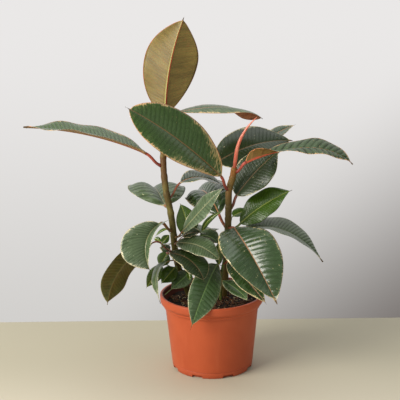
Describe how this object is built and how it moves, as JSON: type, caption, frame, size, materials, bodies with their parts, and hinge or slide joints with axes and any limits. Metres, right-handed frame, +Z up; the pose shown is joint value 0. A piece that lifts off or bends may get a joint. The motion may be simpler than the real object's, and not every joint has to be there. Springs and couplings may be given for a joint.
{
  "type": "potted rubber plant",
  "caption": "Variegated rubber plant with leathery cream-edged leaves on upright stems, growing in a round tapered grower pot.",
  "frame": {"origin": "centre of the pot's flat underside, on the surface it stands on", "axes": "+Z up, -Y towards the front of the plant, +X to the right as seen from the front"},
  "size_m": [0.4606, 0.2222, 0.5126],
  "materials": {
    "pot": "satin terracotta-coloured plastic",
    "soil": "dark potting mix with bark and light specks",
    "stem": "olive-brown bark with node rings",
    "shoot": "smooth green stalk",
    "bud": "smooth coral-red sheath",
    "leaf_variegated": "waxy leaf, dark green centre, cream margin",
    "leaf_green": "glossy plain green leaf"
  },
  "bodies": {
    "root": {"pot": "pot", "soil": "soil", "stem_left": "stem", "stem_right": "stem", "middle_shoot": "shoot", "front_shoot": "shoot", "bud_sheath": "bud", "leaf_top_upright": "leaf_variegated", "leaf_front_large": "leaf_variegated", "leaf_far_left": "leaf_variegated", "leaf_back_top": "leaf_variegated", "leaf_right_back": "leaf_variegated", "leaf_right_upper": "leaf_variegated", "leaf_back_small": "leaf_variegated", "leaf_right_middle": "leaf_variegated", "leaf_left_back": "leaf_variegated", "leaf_centre_upper": "leaf_variegated", "leaf_centre_back": "leaf_variegated", "leaf_centre_front": "leaf_variegated", "leaf_left_striped": "leaf_variegated", "leaf_left_lowest": "leaf_variegated", "leaf_right_drooping": "leaf_variegated", "leaf_under_drooping": "leaf_variegated", "leaf_over_soil": "leaf_variegated", "leaf_over_rim_front": "leaf_variegated", "leaf_centre_dark": "leaf_variegated", "leaf_centre_grey": "leaf_variegated", "leaf_centre_shadow": "leaf_variegated", "leaf_shoot_pale": "leaf_variegated", "leaf_shoot_round": "leaf_green", "leaf_shoot_young": "leaf_green", "leaf_shoot_upright": "leaf_green", "leaf_right_glossy": "leaf_green", "leaf_right_hidden": "leaf_green", "leaf_right_lower": "leaf_variegated", "leaf_over_rim_left": "leaf_variegated", "leaf_low_left_plain": "leaf_green", "leaf_low_left_dark": "leaf_variegated", "leaf_left_rolled": "leaf_variegated", "leaf_left_olive": "leaf_green", "leaf_left_small_upper": "leaf_green", "leaf_left_small_lower": "leaf_green", "leaf_sprout_upper": "leaf_green", "leaf_sprout_lower": "leaf_green", "leaf_low_left_bright": "leaf_green", "leaf_left_small_tip": "leaf_green", "leaf_shoot_behind": "leaf_green", "leaf_shoot_front": "leaf_green"}
  },
  "joints": []
}
